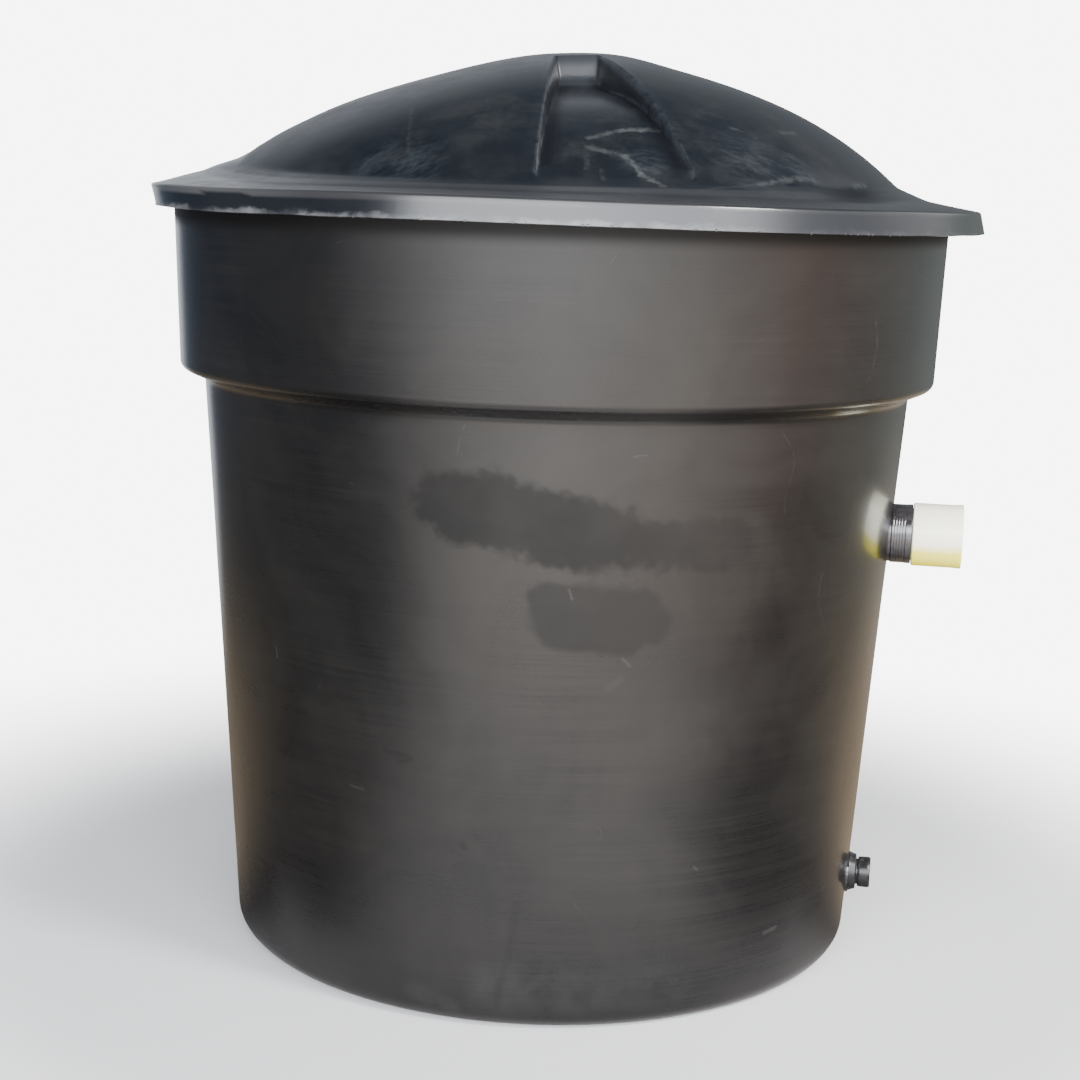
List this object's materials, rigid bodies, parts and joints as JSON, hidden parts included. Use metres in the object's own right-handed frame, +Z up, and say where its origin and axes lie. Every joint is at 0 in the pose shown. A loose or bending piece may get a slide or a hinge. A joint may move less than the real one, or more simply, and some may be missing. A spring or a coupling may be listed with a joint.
{
  "type": "biogas digester tank",
  "caption": "Black plastic biogas digester: a tapered tank with a domed lift-off lid, a pipe outlet, an inlet and a sludge drain.",
  "frame": {"origin": "middle of the tank's base, on the floor that it stands on", "axes": "+Z up, +X out through the outlet socket and the sludge drain, +Y out through the inlet socket"},
  "size_m": [1.62, 1.62, 1.727],
  "materials": {
    "tank_black": "black rotomoulded polyethylene, semi-gloss, finely brushed round the tank, scuffed",
    "lid_black": "black moulded polyethylene, semi-gloss, scuffed",
    "black_rubber": "black rubber, soft sheen",
    "white_pvc": "white PVC, yellowed",
    "black_fitting": "black moulded plastic, semi-gloss"
  },
  "bodies": {
    "tank": {"tank_floor": "tank_black", "tank_wall": "tank_black", "tank_shoulder": "tank_black", "tank_collar": "tank_black", "tank_rim": "tank_black", "outlet_grommet": "black_rubber", "inlet_grommet": "black_rubber", "outlet_seal": "black_rubber", "inlet_seal": "black_rubber", "outlet_socket": "white_pvc", "inlet_socket": "white_pvc", "drain_gasket": "black_rubber", "drain_washer": "black_rubber", "drain_flange": "black_fitting", "drain_cap": "black_fitting", "drain_nut": "black_fitting"},
    "lid": {"lid_dome": "lid_black", "lid_flange": "lid_black", "lid_skirt": "lid_black"}
  },
  "joints": [
    {"name": "lid_lift", "type": "slide", "parent": "tank", "child": "lid", "axis": [0, 0, 1], "range_m": [0, 0.6]}
  ]
}
